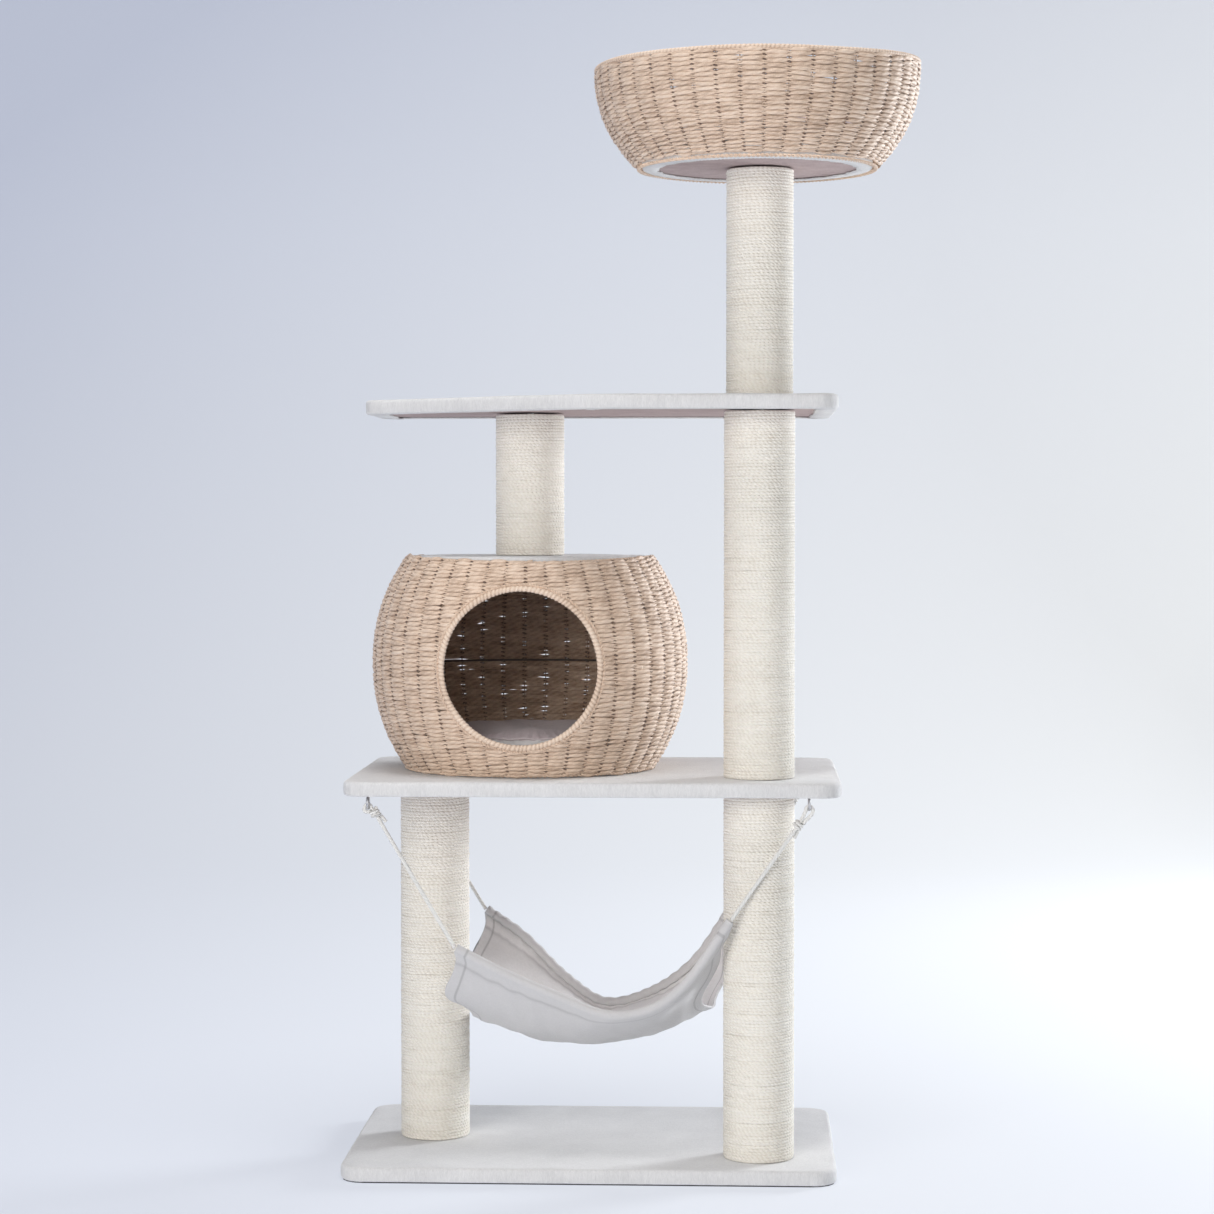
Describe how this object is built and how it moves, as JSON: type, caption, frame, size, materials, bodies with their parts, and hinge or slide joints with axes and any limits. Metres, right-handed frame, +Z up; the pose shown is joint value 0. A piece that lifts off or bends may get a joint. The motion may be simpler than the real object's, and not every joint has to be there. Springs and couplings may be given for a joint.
{
  "type": "cat tree",
  "caption": "Cat tree of plush-covered boards on rope-wound posts, with a woven cave, a woven bowl bed on top and a hammock hung by cords under the middle board.",
  "frame": {"origin": "centre of the base's flat underside", "axes": "+Z up, -Y towards the front where the cave's entrance faces, +X to the right as seen from the front, along the base's long side"},
  "size_m": [0.7019, 0.5278, 1.3445],
  "materials": {
    "plush": "short light grey plush over fibreboard",
    "board": "raw fibreboard",
    "felt": "thin dark felt",
    "cardboard": "wound cardboard tube",
    "sisal": "pale twisted sisal rope",
    "plug": "moulded plastic",
    "zinc": "zinc plated",
    "wicker": "tan twisted paper strands, woven",
    "wire": "drawn wire",
    "cushion": "soft pale mauve plush",
    "hammock": "double light grey plush",
    "rope": "pale braided cord"
  },
  "bodies": {
    "tree": {"base_underlay": "felt", "base_board": "board", "base_cover": "plush", "middle_board": "board", "middle_cover": "plush", "top_board": "board", "top_cover": "plush", "post_core_lower_left": "cardboard", "sisal_lower_left": "sisal", "plug_lower_left_bottom": "plug", "plug_lower_left_top": "plug", "post_core_lower_right": "cardboard", "sisal_lower_right": "sisal", "plug_lower_right_bottom": "plug", "plug_lower_right_top": "plug", "post_core_middle_right": "cardboard", "sisal_middle_right": "sisal", "plug_middle_right_bottom": "plug", "plug_middle_right_top": "plug", "post_core_upper_left": "cardboard", "sisal_upper_left": "sisal", "plug_upper_left_bottom": "plug", "plug_upper_left_top": "plug", "post_core_upper_right": "cardboard", "sisal_upper_right": "sisal", "plug_upper_right_bottom": "plug", "plug_upper_right_top": "plug", "base_bolt_left": "zinc", "base_bolt_right": "zinc", "middle_bolt_left": "zinc", "middle_stud_right": "zinc", "top_stud_right": "zinc", "top_bolt_left": "zinc", "cave_bolt": "zinc", "bowl_bolt": "zinc", "cave_floor_screw": "zinc", "cave_wicker": "wicker", "cave_entrance_rim": "wicker", "cave_hoop": "wire", "cave_floor_board": "board", "cave_floor_cover": "plush", "cave_top_board": "board", "cave_top_cover": "plush", "bowl_wicker": "wicker", "bowl_rim": "wicker", "bowl_floor_board": "board", "bowl_floor_cover": "plush", "eye_screw_front_left": "zinc", "eye_screw_front_right": "zinc", "eye_screw_rear_left": "zinc", "eye_screw_rear_right": "zinc"},
    "front_ropes": {"rope_front_left": "rope", "rope_front_right": "rope"},
    "rear_ropes": {"rope_rear_left": "rope", "rope_rear_right": "rope"},
    "hammock": {"hammock_sheet": "hammock", "hem_cord_front": "rope", "hem_cord_rear": "rope"},
    "cave_pad": {"cave_cushion": "cushion"},
    "bowl_pad": {"bowl_cushion": "cushion"}
  },
  "joints": [
    {"name": "front_ropes_swing", "type": "hinge", "parent": "tree", "child": "front_ropes", "pos_m": [0, -0.163, 0.4543], "axis": [1, 0, 0], "range_deg": [-15, 2.5]},
    {"name": "hammock_level", "type": "hinge", "parent": "front_ropes", "child": "hammock", "pos_m": [0, -0.163, 0.2915], "axis": [1, 0, 0], "range_deg": [-2.5, 15]},
    {"name": "rear_ropes_swing", "type": "hinge", "parent": "tree", "child": "rear_ropes", "pos_m": [0, 0.163, 0.4543], "axis": [1, 0, 0], "range_deg": [-15, 2.5]},
    {"name": "cave_pad_lift", "type": "slide", "parent": "tree", "child": "cave_pad", "axis": [0, 0, 1], "range_m": [0, 0.08]},
    {"name": "bowl_pad_lift", "type": "slide", "parent": "tree", "child": "bowl_pad", "axis": [0, 0, 1], "range_m": [0, 0.15]}
  ],
  "couplings": [
    {"joint": "hammock_level", "follows": "front_ropes_swing", "ratio": -1},
    {"joint": "rear_ropes_swing", "follows": "front_ropes_swing", "ratio": 1}
  ]
}
